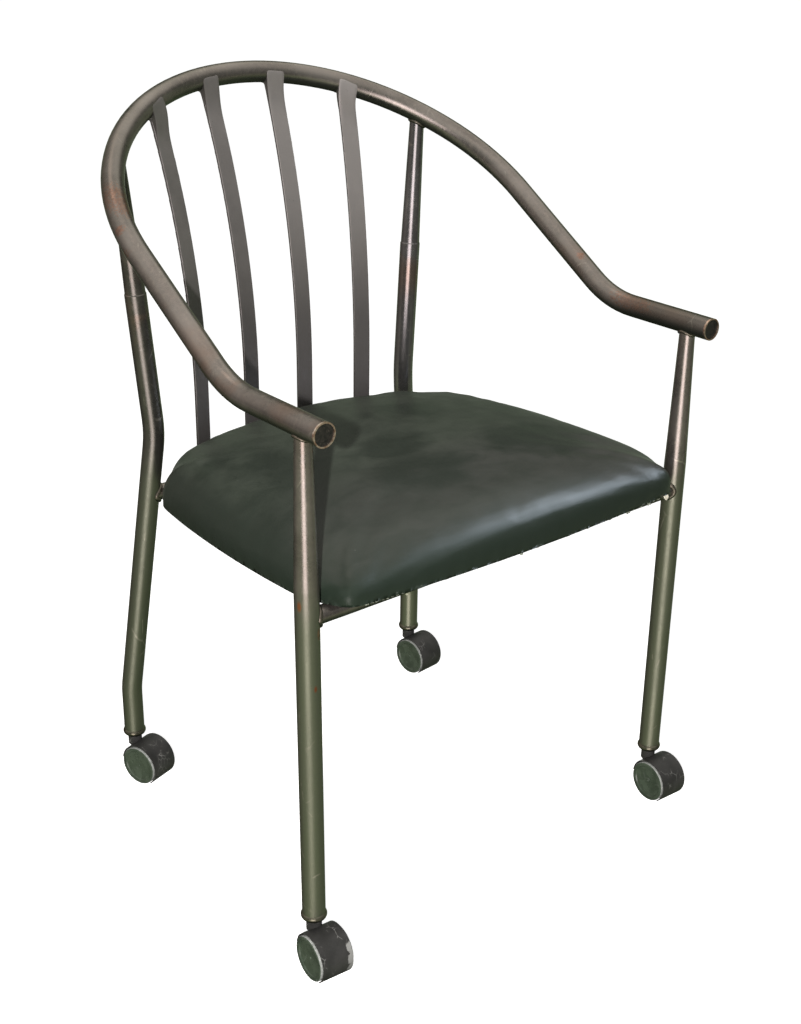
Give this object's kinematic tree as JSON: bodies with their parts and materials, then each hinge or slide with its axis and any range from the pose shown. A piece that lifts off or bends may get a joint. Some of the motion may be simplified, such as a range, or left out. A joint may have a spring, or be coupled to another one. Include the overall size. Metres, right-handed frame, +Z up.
{
  "type": "rolling metal armchair",
  "caption": "Metal armchair on casters: a bent tube hoop makes the arms and back top, flat slats fill the back, padded vinyl seat, tapered tube legs on hooded swivel casters.",
  "frame": {"origin": "centre of the bounding box on the floor, at the wheels' contact", "axes": "+Z up, the sitter faces -Y, the chair's left side in the picture is -X"},
  "size_m": [0.579, 0.5675, 0.8709],
  "materials": {
    "frame_steel": "satin",
    "slat_steel": "satin",
    "collar_steel": "satin",
    "end_cap_plastic": "matte",
    "vinyl": "satin",
    "foam": "matte",
    "plywood": "matte",
    "dust_cloth": "matte",
    "fastener_steel": "satin",
    "caster_steel": "satin",
    "hood_plastic": "matte",
    "wheel_plastic": "gloss",
    "tread_rubber": "matte"
  },
  "bodies": {
    "frame": {"hoop_rail": "frame_steel", "arm_end_cap_left": "end_cap_plastic", "arm_end_cap_right": "end_cap_plastic", "front_leg_left": "frame_steel", "front_leg_right": "frame_steel", "rear_leg_left": "frame_steel", "rear_leg_right": "frame_steel", "back_slat_1": "slat_steel", "back_slat_2": "slat_steel", "back_slat_3": "slat_steel", "back_slat_4": "slat_steel", "seat_rail_front": "frame_steel", "seat_rail_rear": "frame_steel", "seat_rail_left": "frame_steel", "seat_rail_right": "frame_steel", "seat_cover": "vinyl", "seat_foam": "foam", "seat_board": "plywood", "seat_dust_cloth": "dust_cloth", "cover_staples": "fastener_steel", "seat_mounting_tabs": "frame_steel", "seat_screws": "fastener_steel", "caster_socket_front_left": "collar_steel", "caster_socket_front_right": "collar_steel", "caster_socket_rear_left": "collar_steel", "caster_socket_rear_right": "collar_steel"},
    "caster_front_left": {"caster_stem_front_left": "caster_steel", "stem_grip_ring_front_left": "caster_steel", "caster_hood_front_left": "hood_plastic", "caster_axle_front_left": "caster_steel"},
    "caster_front_right": {"caster_stem_front_right": "caster_steel", "stem_grip_ring_front_right": "caster_steel", "caster_hood_front_right": "hood_plastic", "caster_axle_front_right": "caster_steel"},
    "caster_rear_left": {"caster_stem_rear_left": "caster_steel", "stem_grip_ring_rear_left": "caster_steel", "caster_hood_rear_left": "hood_plastic", "caster_axle_rear_left": "caster_steel"},
    "caster_rear_right": {"caster_stem_rear_right": "caster_steel", "stem_grip_ring_rear_right": "caster_steel", "caster_hood_rear_right": "hood_plastic", "caster_axle_rear_right": "caster_steel"},
    "wheel_front_left_a": {"wheel_core_front_left_a": "wheel_plastic", "wheel_tread_front_left_a": "tread_rubber"},
    "wheel_front_left_b": {"wheel_core_front_left_b": "wheel_plastic", "wheel_tread_front_left_b": "tread_rubber"},
    "wheel_front_right_a": {"wheel_core_front_right_a": "wheel_plastic", "wheel_tread_front_right_a": "tread_rubber"},
    "wheel_front_right_b": {"wheel_core_front_right_b": "wheel_plastic", "wheel_tread_front_right_b": "tread_rubber"},
    "wheel_rear_left_a": {"wheel_core_rear_left_a": "wheel_plastic", "wheel_tread_rear_left_a": "tread_rubber"},
    "wheel_rear_left_b": {"wheel_core_rear_left_b": "wheel_plastic", "wheel_tread_rear_left_b": "tread_rubber"},
    "wheel_rear_right_a": {"wheel_core_rear_right_a": "wheel_plastic", "wheel_tread_rear_right_a": "tread_rubber"},
    "wheel_rear_right_b": {"wheel_core_rear_right_b": "wheel_plastic", "wheel_tread_rear_right_b": "tread_rubber"}
  },
  "joints": [
    {"name": "swivel_front_left", "type": "hinge", "parent": "frame", "child": "caster_front_left", "pos_m": [-0.2666, -0.2335, 0.0631], "axis": [0, 0, 1], "continuous": true},
    {"name": "swivel_front_right", "type": "hinge", "parent": "frame", "child": "caster_front_right", "pos_m": [0.2666, -0.2335, 0.0631], "axis": [0, 0, 1], "continuous": true},
    {"name": "swivel_rear_left", "type": "hinge", "parent": "frame", "child": "caster_rear_left", "pos_m": [-0.2302, 0.2029, 0.0631], "axis": [0, 0, 1], "continuous": true},
    {"name": "swivel_rear_right", "type": "hinge", "parent": "frame", "child": "caster_rear_right", "pos_m": [0.2302, 0.2029, 0.0631], "axis": [0, 0, 1], "continuous": true},
    {"name": "roll_front_left_a", "type": "hinge", "parent": "caster_front_left", "child": "wheel_front_left_a", "pos_m": [-0.26841, -0.25502, 0.0255], "axis": [-0.9965, 0.0837, 0], "continuous": true},
    {"name": "roll_front_left_b", "type": "hinge", "parent": "caster_front_left", "child": "wheel_front_left_b", "pos_m": [-0.26841, -0.25502, 0.0255], "axis": [-0.9965, 0.0837, 0], "continuous": true},
    {"name": "roll_front_right_a", "type": "hinge", "parent": "caster_front_right", "child": "wheel_front_right_a", "pos_m": [0.26547, -0.25507, 0.0255], "axis": [-0.9986, 0.0523, 0], "continuous": true},
    {"name": "roll_front_right_b", "type": "hinge", "parent": "caster_front_right", "child": "wheel_front_right_b", "pos_m": [0.26547, -0.25507, 0.0255], "axis": [-0.9986, 0.0523, 0], "continuous": true},
    {"name": "roll_rear_left_a", "type": "hinge", "parent": "caster_rear_left", "child": "wheel_rear_left_a", "pos_m": [-0.22367, 0.18231, 0.0255], "axis": [-0.9532, -0.3024, 0], "continuous": true},
    {"name": "roll_rear_left_b", "type": "hinge", "parent": "caster_rear_left", "child": "wheel_rear_left_b", "pos_m": [-0.22367, 0.18231, 0.0255], "axis": [-0.9532, -0.3024, 0], "continuous": true},
    {"name": "roll_rear_right_a", "type": "hinge", "parent": "caster_rear_right", "child": "wheel_rear_right_a", "pos_m": [0.23231, 0.1814, 0.0255], "axis": [-0.9952, -0.0976, 0], "continuous": true},
    {"name": "roll_rear_right_b", "type": "hinge", "parent": "caster_rear_right", "child": "wheel_rear_right_b", "pos_m": [0.23231, 0.1814, 0.0255], "axis": [-0.9952, -0.0976, 0], "continuous": true}
  ]
}
